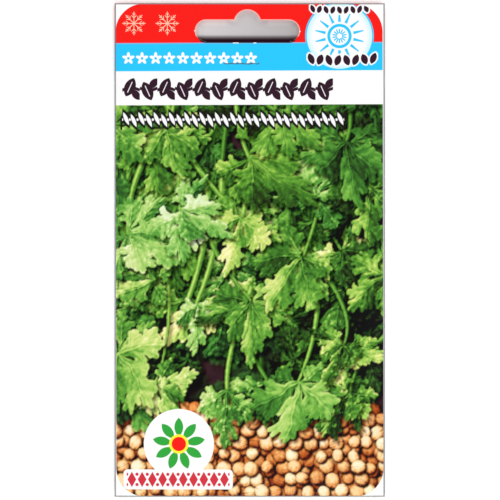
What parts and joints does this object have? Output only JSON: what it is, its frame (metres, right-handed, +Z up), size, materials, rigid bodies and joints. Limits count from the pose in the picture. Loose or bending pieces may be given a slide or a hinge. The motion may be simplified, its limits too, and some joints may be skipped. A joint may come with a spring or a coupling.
{
  "type": "paper seed packet",
  "caption": "Flat printed paper seed packet with a glued header, a hanging slot, a side seam and a folded bottom flap, with loose round seeds in its pocket.",
  "frame": {"origin": "on the table, under the middle of the packet's outer box", "axes": "+Z up out of the printed front, +Y along the packet's length towards the header with the hanging slot, +X across it to the right"},
  "size_m": [0.083, 0.152, 0.0049],
  "materials": {
    "printed_paper": "coated paper with a satin colour print outside, bare white inside",
    "dried_glue": "thin pale film",
    "seed_hull": "dry tan hull with fine ribs"
  },
  "bodies": {
    "root": {"printed_sheet": "printed_paper", "side_seam_glue": "dried_glue", "bottom_flap_glue": "dried_glue", "header_glue": "dried_glue", "coriander_seeds": "seed_hull"}
  },
  "joints": []
}
